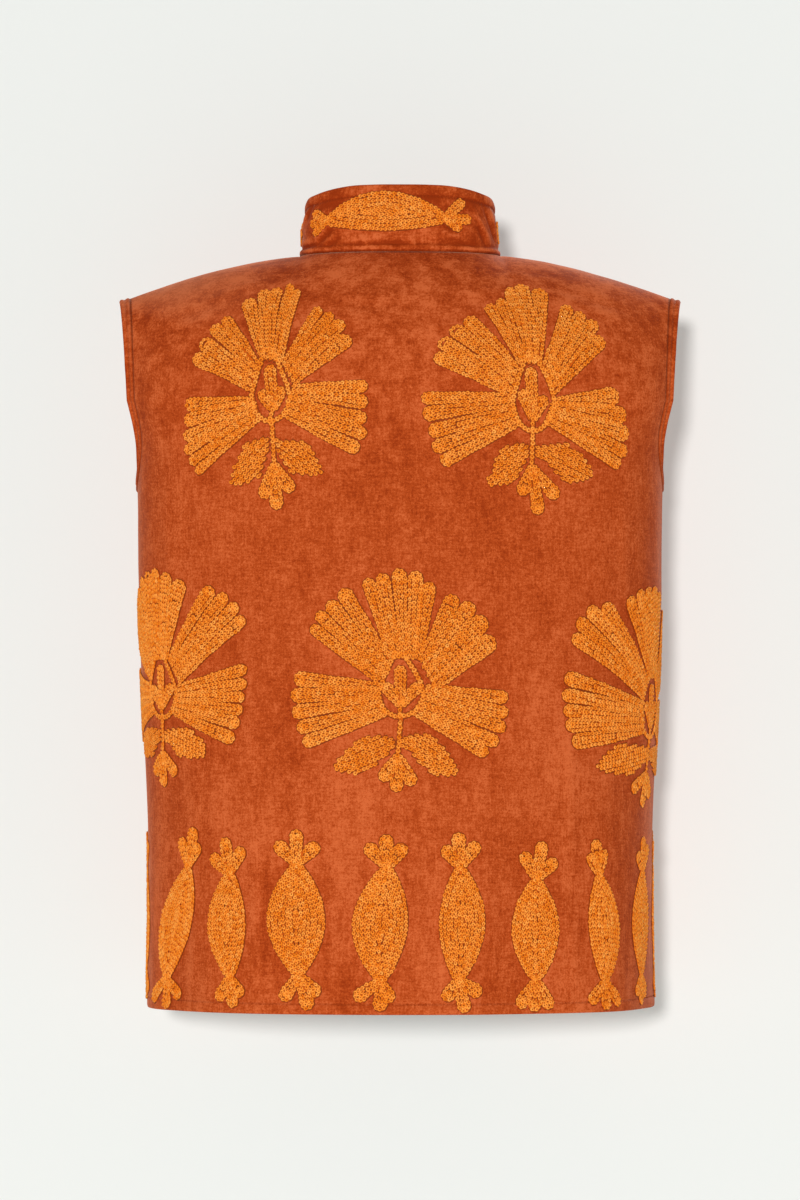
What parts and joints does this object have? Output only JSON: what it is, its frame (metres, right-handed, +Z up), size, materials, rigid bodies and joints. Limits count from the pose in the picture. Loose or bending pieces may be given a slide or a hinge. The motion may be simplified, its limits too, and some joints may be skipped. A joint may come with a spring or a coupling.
{
  "type": "embroidered waistcoat",
  "caption": "Boxy sleeveless velvet waistcoat with a stand collar and armhole bands, filled out as worn, with thick chain-stitched fan flowers and a border of upright pods.",
  "frame": {"origin": "middle of the neck at the height where the shoulder seams meet it, where the wearer's shoulders hold the waistcoat", "axes": "+Z up; the fronts face -Y and the back faces +Y; +X towards the wearer's left"},
  "size_m": [0.4654, 0.3073, 0.6798],
  "materials": {
    "velvet": "brushed, slightly worn velvet",
    "embroidery": "matt wool chain stitch"
  },
  "bodies": {
    "root": {"panel_back": "velvet", "panel_front_left": "velvet", "panel_front_right": "velvet", "collar": "velvet", "armhole_band_left": "velvet", "armhole_band_right": "velvet", "flower_back_left": "embroidery", "flower_back_middle": "embroidery", "flower_back_right": "embroidery", "flower_side_left": "embroidery", "flower_side_right": "embroidery", "pod_hem_01": "embroidery", "pod_hem_02": "embroidery", "pod_hem_03": "embroidery", "pod_hem_04": "embroidery", "pod_hem_05": "embroidery", "pod_hem_06": "embroidery", "pod_hem_07": "embroidery", "pod_hem_08": "embroidery", "pod_hem_09": "embroidery", "pod_hem_10": "embroidery", "pod_hem_11": "embroidery", "pod_hem_12": "embroidery", "pod_hem_13": "embroidery", "pod_hem_14": "embroidery", "pod_hem_15": "embroidery", "pod_hem_16": "embroidery", "pod_hem_17": "embroidery", "pod_collar_back": "embroidery", "pod_collar_left": "embroidery", "pod_collar_right": "embroidery"}
  },
  "joints": []
}
